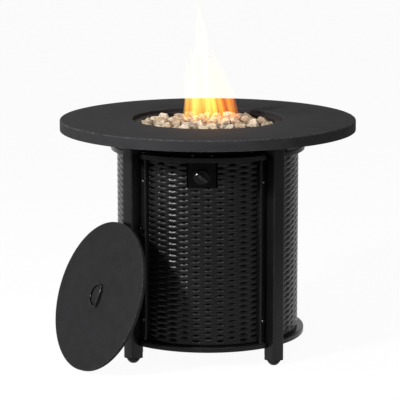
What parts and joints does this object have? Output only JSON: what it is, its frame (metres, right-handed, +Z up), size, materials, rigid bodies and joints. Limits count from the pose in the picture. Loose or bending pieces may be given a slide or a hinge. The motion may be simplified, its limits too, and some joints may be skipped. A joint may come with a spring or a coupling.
{
  "type": "round gas fire pit table",
  "caption": "Round steel fire pit table on square legs, with a lava rock burner in its top, a weave-embossed drum with a door for the gas cylinder, and a lift-out lid leaning on a leg.",
  "frame": {"origin": "on the floor under the middle of the table top", "axes": "+Z up; the door and the control knob face -Y; +X to the right seen from the door"},
  "size_m": [0.8199, 0.813, 0.645],
  "materials": {
    "top_paint": "matte charcoal powder coat",
    "black_paint": "satin black powder coat",
    "enamel": "heat-proof black enamel",
    "stainless": "brushed",
    "zinc_steel": "zinc plated",
    "cast_mixer": "as cast",
    "brass": "plain",
    "valve_casting": "die cast",
    "ceramic": "unglazed",
    "nylon": "black, moulded",
    "silicone": "matt",
    "lava": "rough, cream to tan",
    "black_plastic": "moulded, matt",
    "white_paint": "plain white inlay",
    "black_chrome": "black chrome"
  },
  "bodies": {
    "frame": {"table_top": "top_paint", "top_rim": "top_paint", "top_channel": "black_paint", "fire_pan": "enamel", "burner_ring": "stainless", "burner_nipple": "zinc_steel", "burner_locknut": "zinc_steel", "air_mixer": "cast_mixer", "orifice_fitting": "brass", "gas_pipe": "brass", "sensor_bracket": "stainless", "electrode_insulator": "ceramic", "electrode_rod": "stainless", "ignition_wire": "silicone", "thermocouple": "brass", "heat_shield": "stainless", "shield_spacers": "stainless", "lava_rocks_lower": "lava", "lava_rocks_upper": "lava", "upper_ring": "black_paint", "base_tray": "black_paint", "tank_ring": "black_paint", "leg_front_left": "black_paint", "leg_front_right": "black_paint", "leg_rear_right": "black_paint", "leg_rear_left": "black_paint", "leg_plugs": "black_plastic", "upper_brackets": "black_paint", "lower_brackets": "black_paint", "bracket_bolts": "zinc_steel", "left_panel": "black_paint", "right_panel": "black_paint", "rear_panel": "black_paint", "panel_screws": "zinc_steel", "magnet_catches": "black_plastic", "pivot_bushes": "nylon", "control_plate": "black_paint", "plate_screws": "zinc_steel", "knob_bezel": "black_plastic", "valve_body": "valve_casting", "piezo_igniter": "black_plastic"},
    "door": {"door_panel": "black_paint", "door_left_stile": "black_paint", "door_right_stile": "black_paint", "stile_screws": "zinc_steel", "door_pull": "black_chrome", "strike_plates": "zinc_steel", "pivot_pins": "zinc_steel"},
    "valve_plug": {"valve_plug": "brass"},
    "knob": {"knob": "black_plastic", "knob_pointer": "white_paint", "valve_stem": "zinc_steel"},
    "lid": {"lid_cover": "top_paint", "lid_handle_clip": "black_paint", "lid_rivets": "zinc_steel"},
    "lid_ring": {"lid_handle_ring": "black_chrome"},
    "foot_front_left": {"foot_front_left": "black_plastic"},
    "foot_front_right": {"foot_front_right": "black_plastic"},
    "foot_rear_right": {"foot_rear_right": "black_plastic"},
    "foot_rear_left": {"foot_rear_left": "black_plastic"}
  },
  "joints": [
    {"name": "door_swing", "type": "hinge", "parent": "frame", "child": "door", "pos_m": [0.15733, -0.20188, 0], "axis": [0, 0, 1], "range_deg": [0, 110]},
    {"name": "knob_turn", "type": "hinge", "parent": "frame", "child": "valve_plug", "pos_m": [0, -0.235, 0.526], "axis": [0, -1, 0], "range_deg": [0, 180]},
    {"name": "knob_push", "type": "slide", "parent": "valve_plug", "child": "knob", "axis": [0, 1, 0], "range_m": [0, 0.004], "stiffness_N_per_m": 1500, "springref_m": -0.004},
    {"name": "lid_lift", "type": "slide", "parent": "frame", "child": "lid", "axis": [-0.6158, -0.4557, 0.6428], "range_m": [0, 0.35]},
    {"name": "lid_ring_swing", "type": "hinge", "parent": "lid", "child": "lid_ring", "pos_m": [-0.2769, -0.24732, 0.19614], "axis": [0.2749, 0.2034, 0.9397], "range_deg": [0, 180]},
    {"name": "foot_turn_front_left", "type": "hinge", "parent": "frame", "child": "foot_front_left", "pos_m": [-0.19042, -0.19042, 0.006], "axis": [0, 0, 1], "continuous": true},
    {"name": "foot_turn_front_right", "type": "hinge", "parent": "frame", "child": "foot_front_right", "pos_m": [0.19042, -0.19042, 0.006], "axis": [0, 0, 1], "continuous": true},
    {"name": "foot_turn_rear_right", "type": "hinge", "parent": "frame", "child": "foot_rear_right", "pos_m": [0.19042, 0.19042, 0.006], "axis": [0, 0, 1], "continuous": true},
    {"name": "foot_turn_rear_left", "type": "hinge", "parent": "frame", "child": "foot_rear_left", "pos_m": [-0.19042, 0.19042, 0.006], "axis": [0, 0, 1], "continuous": true}
  ]
}
